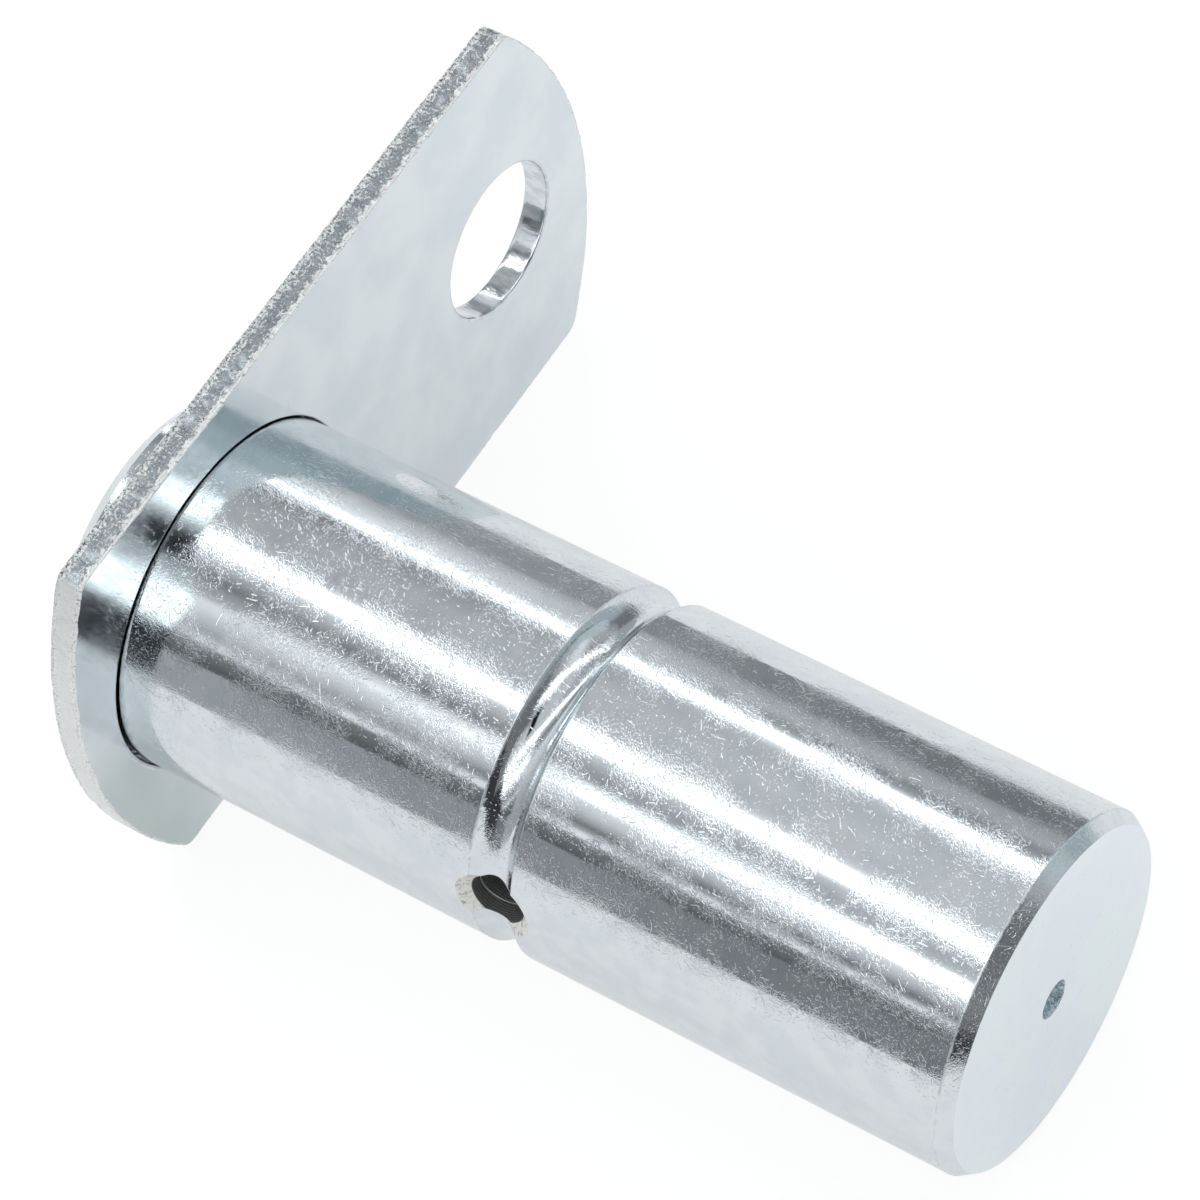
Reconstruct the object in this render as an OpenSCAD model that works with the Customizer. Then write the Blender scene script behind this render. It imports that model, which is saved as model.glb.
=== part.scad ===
// Tilt pin with a welded flag, for a tilt cylinder or a quick-attach pivot.
// Lengths are in millimetres and angles in degrees.
// The origin is on the pin's axis, at the front face of the flag.
// +X runs along the pin to its free end, +Y runs along the flag to its bolt hole,
// and +Z runs across the flag. The pin lies as it is stored, on the flag's long edge.

/* [Pin] */
// Diameter of the shank that the machine's bores run on
pin_d = 38.1; // [32:0.1:43]
// Length of the shank, from the flag's front face to the free end
shank_len = 95.6; // [75:0.1:140]
// How far the head end stands out behind the flag
head_len = 6.2; // [6:0.1:12]
// How much smaller than the finished shank the head end is left, on the radius
seat_relief = 0.25; // [0.2:0.05:0.5]
// Length of the lead-in chamfer along the free end
lead_len = 1.5; // [0.5:0.1:4]
// Depth of the lead-in chamfer on the radius
lead_depth = 1; // [0.3:0.1:3]
// Size of the chamfer round the head end
head_chamfer = 1.6; // [0.5:0.1:2]

/* [Grease way] */
// Distance from the flag's front face to the middle of the grease groove
groove_x = 44.3; // [35:0.1:60]
// Width of the grease groove at the surface
groove_w = 4.9; // [3:0.1:7]
// Depth of the grease groove
groove_depth = 1.3; // [0.6:0.1:1.4]
// Diameter of the outlet hole that is drilled across into the groove
outlet_d = 6; // [5.5:0.1:7]
// Diameter of the countersink at the outlet's mouth
outlet_sink_d = 8.3; // [7.2:0.1:10]
// How far the outlet sits from the middle of the groove, towards the free end
outlet_shift = 0.2; // [0:0.1:1]
// Turn of the outlet round the pin, from the bolt hole's side
outlet_turn = 170; // [0:1:360]
// Diameter of the gallery drilled along the axis
gallery_d = 5; // [3:0.1:5.2]
// How far the gallery runs on past the outlet's wall
gallery_over = 1.5; // [0.5:0.1:6]
// Thread core diameter of the port for a grease fitting
port_d = 8.7; // [7:0.1:12]
// Depth of the port's wall below its countersink
port_depth = 11; // [8:0.1:16]
// Size of the countersink at the port's mouth
port_sink = 0.8; // [0.3:0.1:1.5]

/* [Centre mark] */
// Mouth of the centre-drill mark in the free end
centre_d = 4.2; // [3:0.1:8]
// Diameter of the centre drill's pilot
pilot_d = 1.8; // [1:0.1:2.5]
// Depth of the pilot below the cone
pilot_depth = 1.6; // [0.5:0.1:4]

/* [Flag] */
// Width of the flat bar
flag_w = 50.8; // [47:0.1:70]
// Thickness of the flat bar
flag_t = 3; // [2:0.1:8]
// Distance from the pin's axis to the bolt hole
bolt_y = 48.7; // [40:0.1:80]
// Diameter of the bolt hole
bolt_d = 17.6; // [10:0.1:22]
// Distance from the bolt hole's centre to the middle of the far end
far_margin = 15.4; // [13:0.1:30]
// Distance from the pin's axis to the middle of the near end
near_end = 24.7; // [23:0.1:40]
// Radius that both ends are cut to
end_r = 46.5; // [38:0.5:120]
// How far the far end's curve sits off the flag's middle, towards the upper edge
far_skew = 0.6; // [0:0.1:1]
// Radius on the four corners
corner_r = 1.8; // [0.5:0.1:6]
// Gap between the shank and the flag's hole, on the radius
hole_gap = 0.2; // [0.12:0.02:0.5]
// How far the flag's hole sits off the pin's axis, away from the bolt hole
hole_shift = 0.1; // [0:0.02:0.1]
// Radius that punching rolls onto the front edge of the pin's hole
roll_r = 0.5; // [0.2:0.1:1.4]
// Radius that punching rolls onto the front edge of the bolt hole
bolt_roll_r = 0.3; // [0.1:0.1:1]

/* [Weld] */
// Leg of the fillet weld between the flag's back and the head
weld_leg = 3.3; // [2:0.1:3.8]
// How far the bead crowns out between its legs
weld_crown = 0.45; // [0.1:0.05:0.8]
// Number of ripples round the bead
weld_ripples = 44; // [24:1:60]
// Height of a ripple
ripple_h = 0.3; // [0.1:0.05:0.5]

/* [Hidden] */
$fn = 96;

pin_r = pin_d / 2;
seat_r = pin_r - seat_relief;
back_x = -flag_t;
head_x = back_x - head_len;
outlet_x = groove_x + outlet_shift;

// A round-nosed tool of this radius leaves the groove's width and depth.
groove_tool_r = (groove_w * groove_w / 4 + groove_depth * groove_depth) / (2 * groove_depth);

// A twist drill's point is a cone of 118 degrees.
drill_point = 1 / tan(118 / 2);
gallery_end = outlet_x + outlet_d / 2 + gallery_over;

// A centre drill's cone is 60 degrees.
centre_cone = (centre_d - pilot_d) / 2 / tan(30);

far_end = bolt_y + far_margin;
bar_len = near_end + far_end;
hole_r = pin_r + hole_gap;

// Cutters run this far past the faces they break through.
cut = 1;
proud = 0.01;

zinc = [0.77, 0.8, 0.84];
cut_zinc = [0.62, 0.65, 0.68];
bead_zinc = [0.84, 0.86, 0.88];

// Turns a shape that stands along Z to lie along the pin.
module along_pin() {
    rotate([0, 90, 0]) children();
}

// The turned blank: head chamfer, seat, shank and lead-in chamfer.
module turned_blank() {
    along_pin()
        rotate_extrude()
            polygon([
                [0, head_x],
                [seat_r - head_chamfer, head_x],
                [seat_r, head_x + head_chamfer],
                [seat_r, 0],
                [pin_r, 0],
                [pin_r, shank_len - lead_len],
                [pin_r - lead_depth, shank_len],
                [0, shank_len]
            ]);
}

module grease_groove() {
    along_pin()
        rotate_extrude()
            translate([pin_r - groove_depth + groove_tool_r, groove_x])
                circle(r = groove_tool_r);
}

// The outlet is drilled from the shank's surface into the gallery and countersunk at
// 90 degrees, so that its edge can't cut the bush. The groove takes the middle of the
// countersink away again, and the rest is a crescent on each land.
module grease_outlet() {
    sink = (outlet_sink_d - outlet_d) / 2;
    translate([outlet_x, 0, 0])
        rotate([outlet_turn - 90, 0, 0])
            rotate_extrude()
                polygon([
                    [0, -outlet_d / 2 * drill_point],
                    [outlet_d / 2, 0],
                    [outlet_d / 2, pin_r - sink],
                    [outlet_sink_d / 2 + cut, pin_r + cut],
                    [0, pin_r + cut]
                ]);
}

// Port, countersink and gallery are one stepped hole from the head end.
module grease_port() {
    step_x = head_x + port_sink + port_depth;
    along_pin()
        rotate_extrude()
            polygon([
                [0, head_x - cut],
                [port_d / 2 + port_sink + cut, head_x - cut],
                [port_d / 2, head_x + port_sink],
                [port_d / 2, step_x],
                [gallery_d / 2, step_x + (port_d - gallery_d) / 2 * drill_point],
                [gallery_d / 2, gallery_end],
                [0, gallery_end + gallery_d / 2 * drill_point]
            ]);
}

module centre_mark() {
    pilot_x = shank_len - centre_cone - pilot_depth;
    along_pin()
        rotate_extrude()
            polygon([
                [0, pilot_x - pilot_d / 2 * drill_point],
                [pilot_d / 2, pilot_x],
                [pilot_d / 2, shank_len - centre_cone],
                [centre_d / 2, shank_len],
                [centre_d / 2 + cut * tan(30), shank_len + cut],
                [0, shank_len + cut]
            ]);
}

module pin_shaft() {
    color(zinc)
        difference() {
            turned_blank();
            grease_groove();
            grease_outlet();
            grease_port();
            centre_mark();
        }
}

// Stands a flat outline, drawn with Y across and Z up, to the flag's thickness.
module flag_thick(extra = 0) {
    translate([back_x - extra, 0, 0])
        rotate([90, 0, 90])
            linear_extrude(flag_t + 2 * extra) children();
}

// An end's curve, and the bar behind it, drawn from the centre of the curve.
module curved_end() {
    circle(r = end_r);
    translate([-bar_len, -flag_w / 2 - 2 * cut]) square([bar_len, flag_w + 4 * cut]);
}

module flag_outline() {
    intersection() {
        translate([-near_end - cut, -flag_w / 2]) square([bar_len + 2 * cut, flag_w]);
        translate([far_end - end_r, far_skew]) curved_end();
        translate([end_r - near_end, 0]) mirror([1, 0]) curved_end();
    }
}

// What is taken off one corner: a wedge round the corner, less the rounding circle,
// drawn from the centre of the end's curve, with the long edge at height edge.
// The rounding circle stands a hair proud of both, so that it meets each in one clean line.
module corner_waste(edge) {
    rise = edge - corner_r;
    reach = end_r - corner_r;
    run = sqrt(reach * reach - rise * rise);
    spread = end_r / reach;
    difference() {
        polygon([
            [run, rise],
            [run, edge + cut],
            [run * spread + 2 * corner_r, edge + cut],
            [run * spread + cut * run / reach, rise * spread + cut * rise / reach]
        ]);
        translate([run, rise]) circle(r = corner_r + proud);
    }
}

// Punching draws the metal down round the front edge of a hole.
module punched_hole(radius, roll) {
    along_pin() {
        translate([0, 0, back_x - cut]) cylinder(r = radius, h = flag_t + 2 * cut);
        rotate_extrude()
            difference() {
                translate([radius - roll, -roll]) square([2 * roll, roll + cut]);
                translate([radius + roll, -roll]) circle(r = roll);
                translate([radius - roll, -roll]) square([roll, 2 * roll]);
            }
    }
}

module flag_plate() {
    color(cut_zinc)
        difference() {
            flag_thick() flag_outline();
            for (side = [1, -1])
                mirror([0, 0, side == 1 ? 0 : 1])
                    flag_thick(cut) {
                        translate([far_end - end_r, side * far_skew])
                            corner_waste(flag_w / 2 - side * far_skew);
                        translate([end_r - near_end, 0])
                            mirror([1, 0]) corner_waste(flag_w / 2);
                    }
            translate([0, -hole_shift, 0]) punched_hole(hole_r, roll_r);
            translate([0, bolt_y, 0]) punched_hole(bolt_d / 2, bolt_roll_r);
        }
}

// The bead: rings of points round the head, from the toe on the flag (t = 0)
// over the crown to the toe on the head (t = 1), and one point in the root.
ring_steps = weld_ripples * 6;
face_steps = 8;
ring_points = face_steps + 2;
root_r = seat_r / cos(180 / ring_steps);

function hand_wander(a) = 1 + 0.06 * sin(3 * a + 40) + 0.04 * sin(7 * a);
function toe_r(a) = root_r + weld_leg * hand_wander(a);
function toe_x(a) = back_x - weld_leg * hand_wander(a + 60);
function fraction(v) = v - floor(v);

// Each ripple is a crescent: it leads in the middle of the bead and trails at the toes,
// and it rises gently and drops sharply.
function crown(t) = 4 * t * (1 - t);
function ripple(a, t) = ripple_h * crown(t) * (1 - fraction(a * weld_ripples / 360 - 0.45 * crown(t)));
function swell(a, t) = (weld_crown * crown(t) + ripple(a, t)) / sqrt(2);
function bead_r(a, t) = toe_r(a) + (root_r - toe_r(a)) * t + swell(a, t);
function bead_x(a, t) = back_x + (toe_x(a) - back_x) * t - swell(a, t);

function on_bead(a, k) =
    k > face_steps ? [back_x, root_r * cos(a), root_r * sin(a)]
                   : [bead_x(a, k / face_steps),
                      bead_r(a, k / face_steps) * cos(a),
                      bead_r(a, k / face_steps) * sin(a)];

function bead_index(i, k) = (i % ring_steps) * ring_points + k % ring_points;

module weld_bead() {
    points = [for (i = [0 : ring_steps - 1]) for (k = [0 : ring_points - 1])
        on_bead(i * 360 / ring_steps, k)];
    faces = [for (i = [0 : ring_steps - 1]) for (k = [0 : ring_points - 1])
        each [
            [bead_index(i, k), bead_index(i, k + 1), bead_index(i + 1, k)],
            [bead_index(i + 1, k), bead_index(i, k + 1), bead_index(i + 1, k + 1)]
        ]];
    color(bead_zinc) polyhedron(points, faces);
}

pin_shaft();
flag_plate();
weld_bead();
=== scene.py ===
# %% [markdown]
# # A tilt pin in Blender
#
# The object is a short steel pivot pin with a flat flag welded round its head end,
# all of it zinc plated. The solid model comes from CAD as three nodes: the shaft, the
# flag and the weld bead. This lesson keeps the shaft's mesh, rebuilds the flag with the
# rough edges that a shear leaves, lays the weld with Geometry Nodes, and gives
# each piece its plating. Everything is in metres and in the CAD model's own frame:
# +X runs along the pin, +Y along the flag to its bolt hole, +Z across the flag.

# %% Load the solid model
import bpy, bmesh, math
from mathutils import Matrix, Vector, noise


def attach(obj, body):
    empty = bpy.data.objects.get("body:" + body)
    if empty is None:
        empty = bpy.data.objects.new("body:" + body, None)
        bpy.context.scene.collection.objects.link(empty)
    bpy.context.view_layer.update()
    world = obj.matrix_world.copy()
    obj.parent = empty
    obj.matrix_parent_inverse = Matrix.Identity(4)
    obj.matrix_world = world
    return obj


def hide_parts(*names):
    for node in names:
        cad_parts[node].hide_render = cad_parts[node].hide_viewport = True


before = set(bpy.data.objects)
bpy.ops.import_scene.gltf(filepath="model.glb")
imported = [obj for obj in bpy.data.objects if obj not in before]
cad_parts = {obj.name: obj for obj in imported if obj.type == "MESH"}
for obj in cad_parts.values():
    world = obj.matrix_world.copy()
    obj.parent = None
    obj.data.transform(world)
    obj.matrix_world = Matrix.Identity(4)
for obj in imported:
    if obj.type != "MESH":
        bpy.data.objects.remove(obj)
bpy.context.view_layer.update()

# %% [markdown]
# The photograph fixes where its camera stood. A camera was solved on the outlines of
# the shank, the groove, the flag and the holes, so its place, its three directions and
# its focal length are written here as numbers. Setting the matrix is surer than angles:
# its columns are the camera's right, its up, its back and its place.

# %% The camera
MM = 0.001
PHOTO_SIZE = 1200
FOCAL_PIXELS = 5400.957

camera_place = Vector((242.427, -186.632, 451.001)) * MM
camera_right = Vector((0.82951948, 0.54042349, -0.14085409))
camera_up = Vector((-0.40047425, 0.75139187, 0.52443363))
camera_back = Vector((0.38925288, -0.37861948, 0.83971989))

scene = bpy.context.scene
camera = bpy.data.objects.new("camera", bpy.data.cameras.new("camera"))
scene.collection.objects.link(camera)
scene.camera = camera
columns = (camera_right, camera_up, camera_back, camera_place)
camera.matrix_world = Matrix([[c[i] for c in columns] for i in range(3)] + [[0, 0, 0, 1]])
camera.data.sensor_width = 36
camera.data.lens = FOCAL_PIXELS / PHOTO_SIZE * camera.data.sensor_width
camera.data.clip_start = 0.01
print("lens:", round(camera.data.lens, 1), "mm")

# %% [markdown]
# Materials, the world and Geometry Nodes are all graphs of nodes, and most of a graph is
# arithmetic. So one small class holds an output socket and lets Python's own signs add
# the Math nodes: `1 - mask * 0.5` makes two of them. One method adds any other node. It
# sets the node's options first, because an option can change which sockets it has, and
# then fills the sockets with numbers or links. The last few methods are the nodes that
# come most often: a soft step, the parts of a vector, a noise and a mix of two colours.

# %% One class for every graph
class Wire:
    """An output socket of a node tree, ready for sums."""

    def __init__(self, tree, socket=None):
        self.tree, self.socket = tree, socket

    def add(self, kind, sockets=None, out=0, stops=None, **options):
        node = self.tree.nodes.new(kind)
        for name, value in options.items():
            setattr(node, name, value)
        if stops:
            ramp = node.color_ramp
            while len(ramp.elements) < len(stops):
                ramp.elements.new(1)
            for element, (place, tone) in zip(ramp.elements, stops):
                element.position = place
                element.color = (*tone, 1)
        for name, value in (sockets or {}).items():
            if isinstance(value, Wire):
                self.tree.links.new(value.socket, node.inputs[name])
            else:
                node.inputs[name].default_value = value
        return Wire(self.tree, node.outputs[out])

    def other(self, out):
        return Wire(self.tree, self.socket.node.outputs[out])

    def maths(self, operation, *values):
        return self.add("ShaderNodeMath", dict(enumerate(values)), operation=operation)

    def __add__(self, b):
        return self.maths("ADD", self, b)

    def __radd__(self, b):
        return self.maths("ADD", b, self)

    def __sub__(self, b):
        return self.maths("SUBTRACT", self, b)

    def __rsub__(self, b):
        return self.maths("SUBTRACT", b, self)

    def __mul__(self, b):
        return self.maths("MULTIPLY", self, b)

    def __rmul__(self, b):
        return self.maths("MULTIPLY", b, self)

    def __truediv__(self, b):
        return self.maths("DIVIDE", self, b)

    def __rtruediv__(self, b):
        return self.maths("DIVIDE", b, self)

    def __pow__(self, b):
        return self.maths("POWER", self, b)

    def __abs__(self):
        return self.maths("ABSOLUTE", self)

    def least(self, b):
        return self.maths("MINIMUM", self, b)

    def most(self, b):
        return self.maths("MAXIMUM", self, b)

    def step(self, low, high):
        """0 below low and 1 above high, or the other way round, with a soft ramp."""
        return self.add("ShaderNodeMapRange", {0: self, 1: low, 2: high, 3: 0, 4: 1},
                        interpolation_type="SMOOTHSTEP")

    def parts(self):
        split = self.add("ShaderNodeSeparateXYZ", {0: self})
        return split, split.other(1), split.other(2)

    def vector(self, x, y, z):
        return self.add("ShaderNodeCombineXYZ", {0: x, 1: y, 2: z})

    def noise(self, scale, detail=2, rough=0.5, stretch=None):
        place = self
        if stretch:
            place = self.add("ShaderNodeVectorMath", {0: self, 1: stretch},
                             operation="MULTIPLY")
        return self.add("ShaderNodeTexNoise", {"Vector": place, "Scale": scale,
                                               "Detail": detail, "Roughness": rough})

    def mix(self, a, b):
        """Colour a where this wire is 0, colour b where it is 1."""
        pads = {0: self, 6: a, 7: b}
        pads = {k: (*v, 1) if isinstance(v, tuple) else v for k, v in pads.items()}
        return self.add("ShaderNodeMix", pads, out=2, data_type="RGBA")


print("methods of a wire:", [name for name in vars(Wire) if not name.startswith("__")])

# %% [markdown]
# Three things come again for every material: an empty tree, an output node at its end,
# and a place on the object in millimetres, which is easier to think in than metres.

# %% Starting and ending a material
def new_material(name):
    made = bpy.data.materials.new(name)
    made.use_nodes = True
    made.node_tree.nodes.clear()
    return made, Wire(made.node_tree)


def surface(wire, shader, output="ShaderNodeOutputMaterial"):
    end = wire.tree.nodes.new(output)
    wire.tree.links.new(shader.socket, end.inputs["Surface"])


def metal_start(name):
    """A new material, its tree, and the place on the object in millimetres."""
    made, wire = new_material(name)
    spot = wire.add("ShaderNodeTexCoord", out="Object")
    return made, wire, wire.add("ShaderNodeVectorMath", {0: spot, 3: 1 / MM}, operation="SCALE")


def finish(wire, tone, roughness, bump_height, metallic=1.0):
    """Ends a metal. The bump's height is in millimetres."""
    normal = wire.add("ShaderNodeBump", {"Height": bump_height, "Strength": 1.0, "Distance": MM})
    skin = wire.add("ShaderNodeBsdfPrincipled", {"Base Color": tone, "Roughness": roughness,
                                                 "Metallic": metallic, "Normal": normal})
    surface(wire, skin)


print("bump heights are in units of", MM, "m")

# %% [markdown]
# Polished metal has hardly a colour of its own: it shows the room. The photograph's
# room is a light box with a wide white table, dark walls, and half a metre above the
# table a grey ceiling with long lamps. The bands along the shank are the mirror images
# of those lamps, and two of them meet again in the corner between flag and shank. So
# the ceiling is a real sheet that glows, hung at its true height: a world at infinity
# would put each band in one place only for one end of the shank. The pattern is
# a ramp across the lamps, one for the flag's end of the shank and one for the tip's.
# Each stop is a place in metres across the lamps and a strength. Soft rectangles then
# darken or lighten what only the corner and the chamfer mirror. A camera ray passes
# through the sheet, so other views show plain white above. Cycles could also aim rays
# at a glowing sheet, but one that fills the sky is found without aim, so that is off.

# %% The ceiling
CEILING = 0.5
REACH = 1.6
LAMP_TURN = math.radians(-36)
LAMP = 3.4
OVER_FLAG = [(-1.5, 0.60), (-1.1, 0.66), (-0.8, 0.83), (-0.58, 0.92), (-0.5, 1.08),
             (-0.46, 1.05), (-0.43, 0.72), (-0.39, 0.56), (-0.35, 0.48), (-0.31, 0.30), (-0.28, 0.42),
             (-0.24, 0.64), (-0.20, 0.88), (-0.183, 1.3), (-0.168, LAMP), (-0.127, LAMP),
             (-0.112, 1.3), (-0.095, 0.78), (-0.06, 0.60), (0.06, 0.59), (0.12, 0.45),
             (0.18, 0.34), (0.21, 0.40), (0.24, 1.1), (0.265, LAMP), (0.30, 2.2), (0.325, 1.3),
             (0.40, 1.08), (0.48, 0.93), (0.6, 0.77), (0.9, 0.56), (1.5, 0.42)]
OVER_TIP = [(-1.5, 0.18), (-0.98, 0.30), (-0.93, 1.1), (-0.84, 1.1), (-0.78, 0.55),
            (-0.70, 0.28), (-0.55, 0.80), (-0.475, 1.0), (-0.452, 1.9), (-0.43, LAMP), (-0.355, LAMP),
            (-0.335, 1.4), (-0.31, 0.95), (-0.26, 0.74), (-0.20, 0.80), (-0.182, 1.3),
            (-0.168, LAMP), (-0.127, LAMP), (-0.11, 1.25), (-0.085, 0.86), (-0.04, 0.78),
            (0.04, 0.82), (0.14, 0.72), (0.20, 0.80), (0.235, 1.2), (0.255, LAMP),
            (0.305, LAMP), (0.33, 0.95), (0.37, 0.52), (0.44, 0.40), (0.55, 0.62), (1.5, 0.28)]
RAMP_SPAN = 3
CONTRAST = 1.1
TINT = (0.97, 1, 1.015)


def sheet_object(name, corners, made):
    mesh = bpy.data.meshes.new(name)
    mesh.from_pydata(corners, [], [(0, 1, 2, 3)])
    mesh.materials.append(made)
    made.cycles.emission_sampling = "NONE"
    sheet = bpy.data.objects.new(name, mesh)
    scene.collection.objects.link(sheet)
    return sheet


glowing, sky = new_material("ceiling")
east, north, _ = sky.add("ShaderNodeTexCoord", out="Object").parts()
across = east * -math.sin(LAMP_TURN) + north * math.cos(LAMP_TURN)
along = east * math.cos(LAMP_TURN) + north * math.sin(LAMP_TURN)


def tones(stops):
    """The ramp's colours are in units of LAMP, because a ramp stops at 1."""
    levels = [(place / RAMP_SPAN + 0.5, (tone / LAMP) ** CONTRAST) for place, tone in stops]
    return sky.add("ShaderNodeValToRGB", {0: across / RAMP_SPAN + 0.5},
                   stops=[(place, tuple(level * c for c in TINT)) for place, level in levels])


def patch(centre, half, soft):
    """A soft-edged rectangle on the ceiling: centre and half sizes across and along."""
    sides = [abs(line - middle).step(size + soft, size - soft)
             for line, middle, size in zip((across, along), centre, half)]
    return sides[0] * sides[1]


tip_from = across.most(-0.22) * -1.2 - 0.30
blend = (along - tip_from) / 0.2
pattern = blend.least(1).most(0).mix(tones(OVER_FLAG), tones(OVER_TIP))
for centre, half, soft, tone in (
        ((0.00, 2.20), (2.60, 1.33), 0.12, (0.075, 0.075, 0.075)),
        ((-1.15, 2.20), (0.90, 1.27), 0.10, (0.012, 0.012, 0.013)),
        ((0.50, 0.80), (0.38, 0.45), 0.06, (0.055, 0.056, 0.058)),
        ((-0.26, 0.68), (0.18, 0.16), 0.09, (0.70, 0.72, 0.70)),
        ((0.27, 0.15), (0.08, 0.07), 0.05, (0.75, 0.76, 0.76)),
        ((0.60, 0.00), (0.25, 0.12), 0.12, (0.262, 0.274, 0.282)),
        ((1.30, -0.05), (0.50, 0.50), 0.12, (0.165, 0.185, 0.195)),
        ((0.06, 0.27), (0.085, 0.065), 0.03, (0.004, 0.004, 0.004))):
    pattern = patch(centre, half, soft).mix(pattern, tone)
glow = sky.add("ShaderNodeEmission", {"Color": pattern, "Strength": LAMP})
clear = sky.add("ShaderNodeBsdfTransparent")
rays = sky.add("ShaderNodeLightPath")
unseen = rays.most(rays.other("Is Transmission Ray"))
surface(sky, sky.add("ShaderNodeMixShader", {0: unseen, 1: glow, 2: clear}))
corners = ((-REACH, REACH), (REACH, REACH), (REACH, -REACH), (-REACH, -REACH))
ceiling = sheet_object("ceiling", [(a, b, CEILING) for a, b in corners], glowing)
print("stops on the ceiling:", len(OVER_FLAG) + len(OVER_TIP))

# %% [markdown]
# The world is only what shows between the ceiling's rim and the table: dark walls,
# darker towards the tip, and bluish beyond the bolt hole. For the camera it is plain white.

# %% The walls
world = bpy.data.worlds.new("walls")
scene.world = world
world.use_nodes = True
world.node_tree.nodes.clear()
wall = Wire(world.node_tree)
side, far_side, _ = wall.add("ShaderNodeTexCoord", out="Generated").parts()
dark = side.step(-0.46, -0.30).mix((0.42, 0.44, 0.45), (0.21, 0.22, 0.23))
past_tip = far_side.step(0.2, -0.2).mix((0.43, 0.495, 0.525), (0.05, 0.05, 0.055))
dark = side.step(0.0, 0.3).mix(dark, past_tip)
rays = wall.add("ShaderNodeLightPath")
unseen = rays.most(rays.other("Is Transmission Ray"))
shade = wall.add("ShaderNodeMixShader", {
    0: unseen, 1: wall.add("ShaderNodeBackground", {"Color": dark, "Strength": 1}),
    2: wall.add("ShaderNodeBackground", {"Color": (1, 1, 1, 1), "Strength": 1})})
surface(wall, shade, "ShaderNodeOutputWorld")
world.cycles.sampling_method = "NONE"
print("walls:", len(world.node_tree.nodes), "nodes")

# %% [markdown]
# The pin lies on the flag's long edge and dips until the shank's tip touches the
# table. The CAD model keeps the pin level, so here the table tilts instead: it passes
# under both contacts. It is as wide as the light box's own table, because its far
# edges are the sharp lines where the shank's reflections turn from white to dark.
# The camera sees it mostly as plain white and partly as lit paper, which leaves a light
# shadow under the pin. The metal mirrors more of that shadow.

# %% The table
FLAG_LOW = Vector((-1.5, 0, -25.42)) * MM
TIP_LOW = Vector((94.1, 0, -19.07)) * MM
HALF_WIDTH = 0.345
BEHIND, BEYOND = -0.6, 0.7

slope = (TIP_LOW - FLAG_LOW).normalized()
table_corners = [FLAG_LOW + slope * s + Vector((0, w, 0))
                 for s, w in ((BEHIND, -HALF_WIDTH), (BEYOND, -HALF_WIDTH),
                              (BEYOND, HALF_WIDTH), (BEHIND, HALF_WIDTH))]
paper, sheet = new_material("white_paper")
rays = sheet.add("ShaderNodeLightPath")
mirrored = rays.other("Is Glossy Ray")
matt = sheet.add("ShaderNodeBsdfDiffuse", {"Color": (0.95, 0.95, 0.95, 1)})
plain = sheet.add("ShaderNodeEmission", {"Color": (1, 1, 1, 1), "Strength": 1.08})
share = (rays + rays.other("Is Transmission Ray")) * 0.8 + mirrored * 0.42
surface(sheet, sheet.add("ShaderNodeMixShader", {0: share, 1: matt, 2: plain}))
table = sheet_object("table", table_corners, paper)
print("table tilt:", round(math.degrees(math.atan2(slope.z, slope.x)), 2), "degrees")

# %% [markdown]
# Bright zinc is a thin metal layer, bluish and mirror-like, and soft enough that every
# pin in the box marks the others. So its finish is a metal with a low roughness, and
# the marks are thousands of short curved dashes in its bump. A Voronoi texture drops
# one dash in each cell. The cell's own random colour turns the dash, sets its length
# and its bend, and leaves some cells empty. Where pins have rubbed, the marks run into
# a felt of fine curls: the contour lines of a noise look like that.

# %% Marks in the plating
def dashes(place, per_mm, long, wide, share, bend=0.3):
    """Grooves in a flat map: 1 in the middle of a dash, 0 off it.

    long and wide are half of a dash's greatest length and width in millimetres, and
    share is how many of the cells hold one.
    """
    cell = place.add("ShaderNodeTexVoronoi", {"Vector": place, "Scale": per_mm,
                                              "Randomness": 1.0},
                     out="Position", voronoi_dimensions="2D")
    chance, spin, size = cell.other("Color").parts()
    offset = place.add("ShaderNodeVectorMath", {0: place, 1: cell}, operation="SUBTRACT")
    turned = place.add("ShaderNodeVectorRotate", {"Vector": offset, "Angle": spin * math.tau},
                       rotation_type="Z_AXIS")
    u, v, _ = turned.parts()
    curve = v - u * u * (size - 0.5) * bend
    length = long * (0.35 + size * 0.65)
    body = abs(curve).step(wide, 0.0) * abs(u).step(length, length * 0.7)
    return body * chance.maths("LESS_THAN", chance, share)


def curls(place, per_mm, width, share):
    """Thin curved lines, where a smooth noise passes through its middle value."""
    waves = place.noise(per_mm, 1, 0.5)
    gaps = place.noise(per_mm * 0.8, 1, 0.5, stretch=(1.3, 0.9, 1))
    open_from = 0.62 - share * 0.35
    return abs(waves - 0.5).step(width, 0.0) * gaps.step(open_from, open_from + 0.06)


SPECKS_PER_MM = 2.4
print("cells for specks in a square millimetre:", round(SPECKS_PER_MM ** 2, 1))

# %% [markdown]
# The marks need a flat map of the shaft, so its round skin is unrolled, and its two flat
# ends are mapped as they lie, a little way aside, so that they get marks of their own.
# The crowding is a slow noise: some places are rubbed all over and others hardly
# touched, the chamfer always and the free end's face hardly at all. The edges of the
# groove and of the chamfer are worn rough here and there.

# %% Zinc, scratched
PIN_R, SHANK_LEN = 19.05, 95.6
GROOVE_X, GROOVE_HALF, HEAD_BACK = 44.3, 2.45, -9.2
CHAMFER = 1.5
ASIDE = 200

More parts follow.
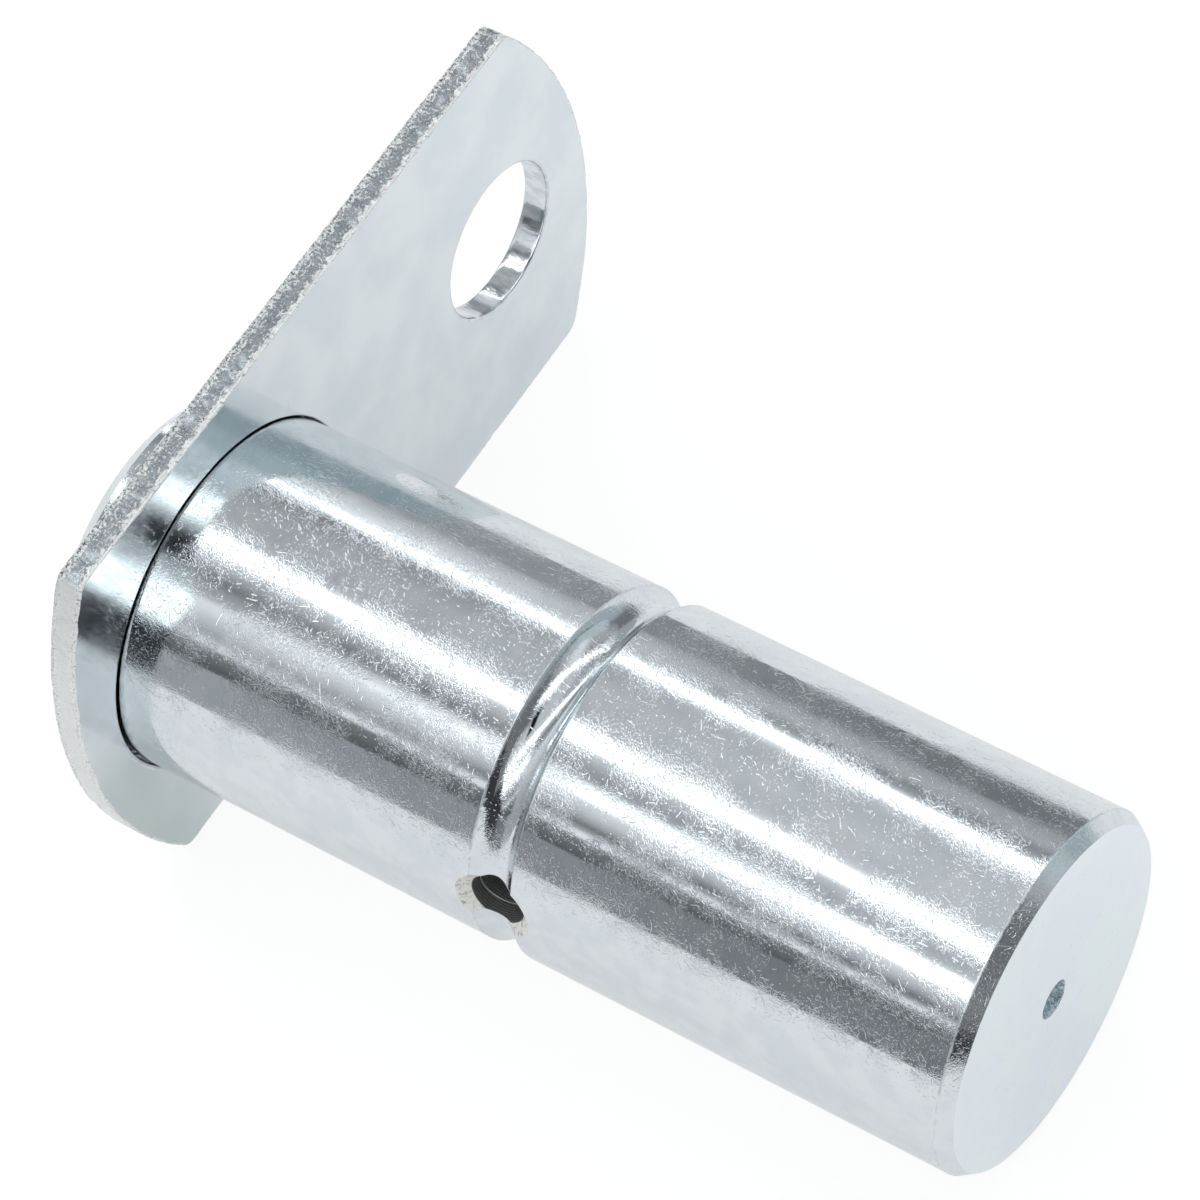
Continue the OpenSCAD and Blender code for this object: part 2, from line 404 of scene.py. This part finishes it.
zinc, wire, spot = metal_start("bright_zinc_turned")
x, y, z = spot.parts()
radius = wire.maths("SQRT", y * y + z * z)
unrolled = wire.vector(x, wire.maths("ARCTAN2", z, y) * PIN_R, 0)
tip_face = wire.maths("GREATER_THAN", x, SHANK_LEN - 0.02)
flat_end = tip_face.most(wire.maths("LESS_THAN", x, HEAD_BACK + 0.02))
flat_map = wire.vector(y + ASIDE, z, 0)
skin_map = wire.add("ShaderNodeMix", {0: flat_end, 4: unrolled, 5: flat_map}, out=1,
                    data_type="VECTOR")
chamfer = x.step(SHANK_LEN - CHAMFER - 0.4, SHANK_LEN - CHAMFER)
crowd = skin_map.noise(0.16, 4, 0.7).step(0.34, 0.60).most(chamfer) * (1 - tip_face * 0.94)

felt = curls(skin_map, 1.7, 0.055, crowd).most(curls(skin_map, 2.9, 0.09, crowd * 0.9))
specks = dashes(skin_map, SPECKS_PER_MM, 0.12, 0.055, crowd * 0.9)
small = dashes(skin_map, 1.25, 0.40, 0.06, crowd * 0.95 + 0.03, bend=1.6)
middle = dashes(skin_map, 0.55, 0.8, 0.065, 0.15 + crowd * 0.7)
big = dashes(skin_map, 0.10, 2.6, 0.055, 0.4, bend=0.06) * (1 - tip_face)
marks = felt * (crowd * 0.40 + 0.06) * (1 - tip_face)
for kind in (specks, small, middle, big):
    marks = marks.most(kind)
grain = spot.noise(3.6, 2, 0.6)
cloud = spot.noise(0.35, 2, 0.5)
bump = grain * (0.001 + crowd * 0.002) + cloud * 0.003 - marks * 0.0085
tone = cloud.step(0.35, 0.65).mix((0.67, 0.715, 0.745), (0.72, 0.755, 0.78))
stain = spot.noise(0.12, 2).step(0.35, 0.65)
tone = tip_face.mix(tone, stain.mix((0.79, 0.865, 0.87), (0.78, 0.835, 0.895)))
rims = abs(x - SHANK_LEN + CHAMFER).least(abs(abs(x - GROOVE_X) - GROOVE_HALF))
worn = rims.step(0.16, 0.05) * skin_map.noise(0.9, 3, 0.6).step(0.3, 0.6)
rough = 0.055 + grain.step(0.4, 0.7) * 0.02 + marks * 0.2 + worn * 0.35
print("nodes for the scratches:", len(zinc.node_tree.nodes))

# %% [markdown]
# Two places on the shaft differ. Plating hardly creeps into a deep hole: the countersink
# at the grease outlet's mouth is pale and dull, with a few brown stains, and the drilled
# wall below it is bare steel painted nearly black, partly as the painted shade deep in
# the hole, with the drill's dark rings and one thin painted highlight across them. The
# centre mark holds a thicker, bluer film. Both are told apart by their place alone: the
# distance from the outlet's axis, and from the pin's.

# %% The outlet and the centre mark
OUTLET_X, DRILL_R, SINK_R = 44.5, 3.0, 4.15
MARK_R, MARK_FROM = 2.1, 80
OUTLET_TURN = math.radians(170)

down = y * math.cos(OUTLET_TURN) + z * math.sin(OUTLET_TURN)
sideways = z * math.cos(OUTLET_TURN) - y * math.sin(OUTLET_TURN)
off_axis = wire.maths("SQRT", (x - OUTLET_X) ** 2 + sideways ** 2)
outlet_side = down.step(0, 1)
bare = off_axis.step(DRILL_R + 0.06, DRILL_R + 0.03) * outlet_side
on_cone = abs(off_axis - down + PIN_R - SINK_R).step(0.10, 0.05)
sink = on_cone * off_axis.step(SINK_R + 0.25, SINK_R + 0.15)
in_outlet = bare.most(sink * outlet_side)
rings = wire.maths("SINE", down * 21 + x * 3)
# A painted highlight: one thin bright line drawn slantwise across the drilled wall.
painted_glint = abs(down + x * 0.25 - 26.9).step(0.10, 0.03)
ring_and_noise_mix = rings.step(-0.6, 1.0) * 0.4 + spot.noise(3, 3, 0.7) * 0.5
# The drilled wall is painted nearly black, partly bare steel and partly painted shade deep in the
# hole.
steel_and_painted_shade = ring_and_noise_mix.mix((0.05, 0.05, 0.052), (0.22, 0.22, 0.215))
steel_and_painted_shade = (painted_glint * 0.9).mix(steel_and_painted_shade, (0.85, 0.85, 0.82))
mouth = spot.noise(2.2, 3, 0.7).step(0.36, 0.50).mix((0.50, 0.47, 0.42), (0.93, 0.92, 0.88))
sunk = x.step(SHANK_LEN - 0.05, SHANK_LEN - 0.12) * x.step(MARK_FROM, MARK_FROM + 1)
mark = sunk * radius.step(MARK_R + 0.1, MARK_R)
film = spot.noise(2.4, 3, 0.6).step(0.38, 0.60).mix((0.22, 0.30, 0.34), (0.55, 0.66, 0.72))
tone = mark.mix(tone, film)
tone = in_outlet.mix(tone, mouth)
tone = bare.mix(tone, steel_and_painted_shade)
rough = rough * (1 - in_outlet) + in_outlet * 0.55 + mark * 0.12
bump = bump * (1 - in_outlet) + bare * rings * 0.02
finish(wire, tone, rough, bump, metallic=1 - in_outlet * 0.9)

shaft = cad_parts["pin_shaft"]
shaft.data.materials.clear()
shaft.data.materials.append(zinc)
print("zinc nodes:", len(zinc.node_tree.nodes))

# %% [markdown]
# The flag is punched out of flat bar. Its faces keep the mill's smooth skin, but the
# press tears its way through the edge, and the plating then shines up every tear. The
# CAD solid has a clean edge, so the flag is built anew from the same sizes. The
# outline comes first, as a closed line of points a quarter of a millimetre apart: arcs
# for the ends and the corners, and straight runs between them.

# %% The flag's outline
FLAG_W, FLAG_T = 50.8, 3.0
NEAR_END, FAR_END = 24.7, 64.1
END_R, CORNER_R, FAR_SKEW = 46.5, 1.8, 0.6


def arc(centre, r, start, stop, pieces=60):
    turns = [start + (stop - start) * i / pieces for i in range(pieces + 1)]
    return [Vector((centre[0] + r * math.cos(t), centre[1] + r * math.sin(t))) for t in turns]


def corner(edge):
    """Where a corner's rounding has its centre, seen from the centre of the end's arc."""
    rise = edge - CORNER_R
    run = math.sqrt((END_R - CORNER_R) ** 2 - rise ** 2)
    return run, rise, math.atan2(rise, run)


def even_steps(line, step):
    """Walks a closed line and puts a point at every step."""
    line = line + [line[0]]
    lengths = [(q - p).length for p, q in zip(line, line[1:])]
    count = round(sum(lengths) / step)
    walk, made, i, done = sum(lengths) / count, [], 0, 0.0
    for k in range(count):
        while done + lengths[i] < k * walk:
            done += lengths[i]
            i += 1
        made.append(line[i].lerp(line[i + 1], (k * walk - done) / lengths[i]))
    return made


far_centre, near_centre = (FAR_END - END_R, FAR_SKEW), (END_R - NEAR_END, 0)
top_run, top_rise, top_turn = corner(FLAG_W / 2 - FAR_SKEW)
low_run, low_rise, low_turn = corner(FLAG_W / 2 + FAR_SKEW)
near_run, near_rise, near_turn = corner(FLAG_W / 2)
quarter, half_turn = math.pi / 2, math.pi
drawn = (arc(far_centre, END_R, -low_turn, top_turn, 200)
         + arc((far_centre[0] + top_run, FAR_SKEW + top_rise), CORNER_R, top_turn, quarter)
         + arc((near_centre[0] - near_run, near_rise), CORNER_R, quarter, half_turn - near_turn)
         + arc(near_centre, END_R, half_turn - near_turn, half_turn + near_turn, 200)
         + arc((near_centre[0] - near_run, -near_rise), CORNER_R, half_turn + near_turn, 3 * quarter)
         + arc((far_centre[0] + low_run, FAR_SKEW - low_rise), CORNER_R, -quarter, -low_turn))
drawn = [p for p, q in zip(drawn, drawn[1:] + drawn[:1]) if (p - q).length > 1e-6]
outline = even_steps(drawn, 0.25)
print("outline:", len(outline), "points")

# %% [markdown]
# The sheared edge is a strip of small faces round the outline, seventeen rows of points
# deep. The rows lie closer together at both rims, and where two share a level the edge
# has a fine square step. Each point is pushed in or out along the outline's normal by
# smooth noise: long waves, short tears that run through the thickness, and a few dents.
# Both edges are rounded over by an amount that wanders, which draws thin broken
# highlights along them, and the edge's finish adds painted white lines along both rims.
# Each strip also gets the number of its finish: the faces will be 0, the sheared edge 1
# and the walls of the holes 2.

# %% The flag's sheared edge
CLOSE = [0, 0.02, 0.05, 0.09]
EVEN = [0.09 + 0.82 * k / 8 for k in range(9)]
LEVELS = CLOSE + EVEN + [1 - level for level in reversed(CLOSE)]
SEED = 3.0
CUT_BACK = 0.04
DENTS = [((-22.6, -23.4), 0.75, 1.1, 0.45), ((-20.0, 25.4), 0.3, 1.2, 0.22),
         ((3.0, 25.4), 0.2, 1.6, 0.2), ((31.0, 25.4), 0.7, 1.0, 0.2),
         ((52.0, 25.4), 0.5, 1.3, 0.18), ((-24.7, 3.0), 0.6, 1.1, 0.2),
         ((-24.3, -9.0), 0.25, 1.5, 0.2), ((57.5, -18.0), 0.75, 1.2, 0.25)]
EDGE_FINISH, WALL_FINISH = 1, 2


def ring_of(bm, line, x):
    return [bm.verts.new(Vector((x, p.x, p.y)) * MM) for p in line]


def strip(bm, low, high, finish_number):
    for i in range(len(low)):
        j = (i + 1) % len(low)
        face = bm.faces.new((low[i], low[j], high[j], high[i]))
        face.material_index = finish_number
        face.smooth = True


def outward(line):
    return [Vector((b.y - a.y, a.x - b.x)).normalized()
            for a, b in zip(line[-1:] + line[:-1], line[1:] + line[:1])]


def at(p, per_mm, depth):
    return Vector((p.x * per_mm, p.y * per_mm, depth))


def tear(p, v):
    """How far the sheared edge stands out in millimetres. v runs from back to front."""
    waves = noise.noise(at(p, 0.12, SEED)) * 0.10
    rim = max(0.0, 1 - min(v, 1 - v) * FLAG_T / 0.6)
    tears = noise.fractal(at(p, 1.3, v * 2.5 + SEED), 0.8, 2, 3)
    pits = noise.noise(at(p, 1.2, v * 3.1 + 9 * SEED))
    return waves + tears * (0.012 + 0.05 * rim) - max(0.0, pits - 0.30) * 0.35


def dent(p, v):
    """How deep the dents go at one point. Each has a place, a level, a reach and a depth."""
    far = [(math.hypot((p - Vector(place)).length, (v - level) * FLAG_T) / reach, deep)
           for place, level, reach, deep in DENTS]
    return sum(deep * math.exp(-3 * share ** 2) for share, deep in far)


def rounding(p, v):
    """How far the rim is rounded away, over a width that wanders along it."""
    lip = 0.20 + 0.16 * noise.fractal(at(p, 0.8, 7.0 + round(v)), 0.8, 2, 3)
    from_rim = min(v, 1 - v) * FLAG_T
    if from_rim >= lip:
        return 0.0
    return lip - math.sqrt(lip ** 2 - (lip - from_rim) ** 2)


normals = outward(outline)
flag_mesh = bmesh.new()
rings = []
for row, level in enumerate(LEVELS):
    v = row / (len(LEVELS) - 1)
    line = [p + n * (tear(p, v) - dent(p, v) - rounding(p, v) - CUT_BACK)
            for p, n in zip(outline, normals)]
    rings.append(ring_of(flag_mesh, line, -FLAG_T * (1 - level)))
for low, high in zip(rings, rings[1:]):
    strip(flag_mesh, low, high, EDGE_FINISH)
print("sheared edge:", len(LEVELS), "rows of", len(outline), "points")

# %% [markdown]
# A punch rolls the front rim of a hole over and leaves a small break at the back. Each
# hole is a stack of rings: three for the back's break, six up the straight wall and six
# round the roll. The pin's hole has its middle a little off the pin's axis, and its roll
# is smaller towards the bolt hole, so the dark line round the shank is a hair there and
# wider on the other side. Two flat faces then close the mesh between outline and holes.

# %% The flag's holes and faces
BACK_BREAK, HOLE_WEAR = 0.16, 0.035
STEPS_UP = 6


def hole_rows(centre, r, roll, lean, points):
    def ring(spread, x, ripple=1.0):
        line = []
        for k in range(points):
            t = -math.tau * k / points
            wear = noise.noise(Vector((math.cos(t) * r * 0.8, math.sin(t) * r * 0.8, x * 0.25)))
            now = r + spread * (1 - lean * math.cos(t)) + wear * HOLE_WEAR * ripple
            line.append(Vector((centre + now * math.cos(t), now * math.sin(t))))
        return ring_of(flag_mesh, line, x)

    wall_from = -FLAG_T + BACK_BREAK
    shares = [k / STEPS_UP for k in range(1, STEPS_UP + 1)]
    turns = [share * quarter for share in shares]
    return ([ring(0.12, -FLAG_T, 0), ring(0.03, -FLAG_T + 0.06), ring(0, wall_from)]
            + [ring(0, wall_from + (-roll - wall_from) * share) for share in shares]
            + [ring(roll - roll * math.cos(turn), -roll + roll * math.sin(turn), 1 - share)
               for turn, share in zip(turns, shares)])


pin_hole = hole_rows(centre=-0.09, r=19.19, roll=0.42, lean=0.35, points=480)
bolt_hole = hole_rows(centre=48.7, r=8.8, roll=0.3, lean=0, points=300)
for rows in (pin_hole, bolt_hole):
    for low, high in zip(rows, rows[1:]):
        strip(flag_mesh, low, high, WALL_FINISH)
for end in (-1, 0):
    loops = [rings[end], pin_hole[end], bolt_hole[end]]
    edges = [flag_mesh.edges.get((a, b)) for loop in loops
             for a, b in zip(loop, loop[1:] + loop[:1])]
    bmesh.ops.triangle_fill(flag_mesh, edges=edges, use_beauty=True, use_dissolve=False)
bmesh.ops.recalc_face_normals(flag_mesh, faces=flag_mesh.faces)
flag_data = bpy.data.meshes.new("flag")
flag_mesh.to_mesh(flag_data)
flag_mesh.free()
flag = bpy.data.objects.new("flag", flag_data)
scene.collection.objects.link(flag)
print("flag faces:", len(flag_data.polygons))

# %% [markdown]
# Three finishes share the flag, in the order of their numbers. The face is satin: it
# mirrors the shank in soft, broken patches. Its corner below the pin is painted darker,
# a painted reflection of the shadow on the table beneath it.

# %% The flag's satin face
satin, wire, spot = metal_start("zinc_satin_face")
_, y, z = spot.parts()
flat = wire.vector(y, z, 0)
marks = dashes(flat, 0.5, 0.7, 0.05, 0.25) + dashes(flat, 0.1, 3.0, 0.05, 0.25, bend=0.05)
mottle = spot.noise(0.12, 3, 0.5)
fine = spot.noise(1.5, 2, 0.5)
tone = mottle.step(0.35, 0.65).mix((0.70, 0.76, 0.785), (0.765, 0.815, 0.84))
# Painted shade: the corner below the pin is darkened as a painted reflection of the table's shadow.
painted_shadow_reflection = y.step(-10, -20) * z.step(4, -8)
tone = (painted_shadow_reflection * 0.6).mix(tone, (0.45, 0.52, 0.51))
rough = 0.12 + mottle.step(0.3, 0.7) * 0.05
finish(wire, tone, rough, mottle * 0.0014 + fine * 0.0008 - marks * 0.006)
print("satin nodes:", len(satin.node_tree.nodes))

# %% [markdown]
# The sheared edge is the same metal, rough enough to look grey. A ragged white line, a
# painted highlight, follows each rim, more broken at the back. White strokes, painted
# highlights too, lie between the two lines, and dark specks, the painted shade of small
# pits, crowd towards them. The round end beside the pin is painted the whitest part.

# %% The torn edge
FRONT_RIM, MIDDLE, BACK_RIM = -0.60, -1.5, -2.15

torn, wire, spot = metal_start("zinc_torn_edge")
x, y, z = spot.parts()
edge_map = wire.vector(x, y + z, 0)
crumb = spot.noise(1.7, 4, 0.75)
ragged = edge_map.noise(1.3, 4, 0.75) - 0.5
fleck = edge_map.noise(3.2, 3, 0.7)
swing = ragged * 2.6
# Painted highlights: ragged white lines along the front and back rims.
front_rim_highlight = (x - FRONT_RIM + swing).step(-0.08, 0.08)
back_rim_highlight = (x - BACK_RIM + swing).step(0.1, -0.1) * fleck.step(0.45, 0.50)
# Painted highlights: white strokes between the rims.
painted_white_strokes = dashes(edge_map, 0.8, 0.6, 0.11, 0.65, bend=1.2).most(fleck.step(0.55, 0.59) * 0.9)
# Painted highlight: the round end beside the pin is painted whiter.
near_end_highlight = y.step(-16.5, -17.5) * abs(z).step(25.3, 25.0)
painted_highlights = front_rim_highlight.most(back_rim_highlight * 0.9).most(painted_white_strokes * 0.9).most(near_end_highlight * 0.8)
by_rims = (abs(x - MIDDLE) + ragged).step(0.6, 1.2) * 0.8 + 0.2
# Painted shade: dark specks standing for the shade in small pits.
pit_shade = fleck.step(0.42, 0.37) * by_rims
core = spot.noise(0.9, 3, 0.6).step(0.3, 0.7).mix((0.36, 0.405, 0.43), (0.53, 0.575, 0.60))
tone = painted_highlights.mix(core, (0.96, 0.96, 0.955))
tone = (pit_shade * 0.8).mix(tone, (0.14, 0.14, 0.14))
bump = crumb * (0.035 + painted_highlights * 0.05) + fleck * (0.01 + painted_highlights * 0.05)
finish(wire, tone, 0.26 + painted_highlights * 0.1, bump, metallic=1 - painted_highlights * 0.6)
print("torn edge nodes:", len(torn.node_tree.nodes))

# %% [markdown]
# The punch leaves the walls of the holes burnished bright, with streaks along its way.
# With that the flag is complete and takes the place of the CAD model's flag.

# %% The holes' walls, and the flag's place
bright, wire, spot = metal_start("zinc_burnished_hole")
streaks = spot.noise(0.8, 3, 0.6, stretch=(0.5, 1, 1))
tone = streaks.step(0.35, 0.65).mix((0.60, 0.65, 0.68), (0.76, 0.79, 0.81))
finish(wire, tone, 0.09 + streaks.step(0.4, 0.7) * 0.1, streaks * 0.03)

for made in (satin, torn, bright):
    flag_data.materials.append(made)
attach(flag, "root")
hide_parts("flag_plate")
print("flag finishes:", [made.name for made in flag_data.materials])

# %% [markdown]
# The weld runs all round the head behind the flag. A welder lays it as one puddle after
# another, so it is a fillet with crescent ripples, and it follows a rule: a section
# swept along a circle, then pushed out by a number that depends only on the
# angle and on the place across the bead. Geometry Nodes do just that. A three-sided
# curve gives the section, Curve to Mesh sweeps it, and Set Position adds the swell.

# %% The weld's node tree
SEAT_R, LEG = 18.8, 3.3
RIPPLES = 44
STEPS = RIPPLES * 16

weld_tree = bpy.data.node_groups.new("weld_bead", "GeometryNodeTree")
panel = weld_tree.interface
panel.new_socket("Geometry", in_out="OUTPUT", socket_type="NodeSocketGeometry")
panel.new_socket("Geometry", in_out="INPUT", socket_type="NodeSocketGeometry")
SIZES = {"Inner radius": SEAT_R * MM, "Leg": LEG * MM, "Back face": -FLAG_T * MM,
         "Crown": 0.45 * MM, "Ripple height": 0.34 * MM, "Ripples": float(RIPPLES),
         "Seed": 4.0}
for name in SIZES:
    panel.new_socket(name, in_out="INPUT", socket_type="NodeSocketFloat")
panel.new_socket("Finish", in_out="INPUT", socket_type="NodeSocketMaterial")

grow = Wire(weld_tree)
inputs = weld_tree.nodes.new("NodeGroupInput")
given = {name: Wire(weld_tree, inputs.outputs[name]) for name in [*SIZES, "Finish"]}


def keep(curve, name, value):
    return curve.add("GeometryNodeStoreNamedAttribute",
                     {"Geometry": curve, "Name": name, "Value": value}, data_type="FLOAT")


def read(name):
    return grow.add("GeometryNodeInputNamedAttribute", {"Name": name}, data_type="FLOAT")


order = grow.add("GeometryNodeInputIndex")
path = grow.add("GeometryNodeCurvePrimitiveCircle", {"Resolution": STEPS, "Radius": 0.02})
path = keep(path, "angle", order * (math.tau / STEPS))
section = grow.add("GeometryNodeCurvePrimitiveCircle", {"Resolution": 3, "Radius": 0.001})
section = keep(section, "up_flag", order.maths("COMPARE", order, 1, 0.1))
section = keep(section, "along_head", order.maths("COMPARE", order, 2, 0.1))
section = grow.add("GeometryNodeSubdivideCurve", {"Curve": section, "Cuts": 9})
swept = grow.add("GeometryNodeCurveToMesh", {"Curve": path, "Profile Curve": section})
print("weld sizes:", SIZES)

# %% [markdown]
# Both curves carry numbers with them: the path its angle, the section how far up the
# flag and how far along the head each point lies. Curve to Mesh hands them on, so
# the place of every point of the bead is one sum of them. Their product is 0 on
# the two legs and largest in the middle of the bead, which makes it the natural
# measure for the crown, for the ripples' height and for how far they bow forward. The
# swell goes out and back in equal parts, which is why it is divided by the root of two.

# %% The bead's swell
angle, up_flag, along_head = read("angle"), read("up_flag"), read("along_head")


def wander(turn):
    """The leg's length round the bead, as a share of LEG."""
    return turn.maths("SINE", turn * 3 + 0.7) * 0.06 + turn.maths("SINE", turn * 7) * 0.04 + 1


bulge = up_flag * along_head * 4
jitter = grow.add("ShaderNodeTexNoise", {"W": angle * 2.2 + given["Seed"], "Scale": 3.0},
                  noise_dimensions="1D") - 0.5
count = angle * given["Ripples"] / math.tau - bulge * 0.5 + jitter * 0.5
phase = count.maths("FRACT", count)
ripple = (1 - phase) * phase.step(0.0, 0.16)
height = bulge * given["Crown"] + bulge ** 0.6 * ripple * given["Ripple height"]
swell = height / math.sqrt(2)
ring_r = given["Inner radius"] + given["Leg"] * wander(angle) * up_flag + swell
bead_x = given["Back face"] - given["Leg"] * wander(angle + 1.05) * along_head - swell
place = grow.vector(bead_x, ring_r * angle.maths("COSINE", angle),
                    ring_r * angle.maths("SINE", angle))
bead = grow.add("GeometryNodeSetPosition", {"Geometry": swept, "Position": place})
bead = grow.add("GeometryNodeSetShadeSmooth", {"Geometry": bead})
bead = grow.add("GeometryNodeRealizeInstances", {"Geometry": bead})
bead = grow.add("GeometryNodeSetMaterial", {"Geometry": bead, "Material": given["Finish"]})
group_out = weld_tree.nodes.new("NodeGroupOutput")
weld_tree.links.new(bead.socket, group_out.inputs[0])
print("bead nodes:", len(weld_tree.nodes))

# %% [markdown]
# The bead gets the same zinc, rougher than on the shaft and a little pitted.

# %% Zinc on the bead
weld_zinc, wire, spot = metal_start("zinc_on_weld")
pits = spot.noise(1.5, 3, 0.6)
tone = pits.step(0.35, 0.6).mix((0.50, 0.53, 0.55), (0.78, 0.80, 0.81))
finish(wire, tone, 0.18 + pits.step(0.35, 0.7) * 0.1, pits * 0.07)
print("bead finish:", weld_zinc.name)

# %% [markdown]
# The tree runs as a modifier on an empty object. Its inputs go in by their
# identifiers, before Blender first evaluates it. The result is then made a plain
# mesh, and the modifier goes, so that the model holds the bead itself.

# %% The bead's mesh
def grown(name, tree, values):
    holder = bpy.data.objects.new(name + "_maker", bpy.data.meshes.new(name + "_maker"))
    scene.collection.objects.link(holder)
    modifier = holder.modifiers.new("grow", "NODES")
    modifier.node_group = tree
    for item in tree.interface.items_tree:
        if item.in_out == "INPUT" and item.name in values:
            modifier[item.identifier] = values[item.name]
    ready = holder.evaluated_get(bpy.context.evaluated_depsgraph_get())
    mesh = bpy.data.meshes.new_from_object(ready)
    bpy.data.objects.remove(holder)
    mesh.name = name
    for carried in ("angle", "up_flag", "along_head"):
        if carried in mesh.attributes:
            mesh.attributes.remove(mesh.attributes[carried])
    piece = bpy.data.objects.new(name, mesh)
    scene.collection.objects.link(piece)
    bm = bmesh.new()
    bm.from_mesh(mesh)
    bmesh.ops.remove_doubles(bm, verts=bm.verts, dist=1e-6)
    bmesh.ops.recalc_face_normals(bm, faces=bm.faces)
    print(name, "faces:", len(bm.faces), "volume:", round(bm.calc_volume() * 1e9, 1), "mm3",
          "open edges:", sum(not e.is_manifold for e in bm.edges))
    bm.to_mesh(mesh)
    bm.free()
    return piece


weld = grown("weld", weld_tree, {**SIZES, "Finish": weld_zinc})
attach(weld, "root")
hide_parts("weld_bead")

# %% [markdown]
# The standard view transform keeps white paper white.

# %% The view transform
scene.view_settings.view_transform = "Standard"
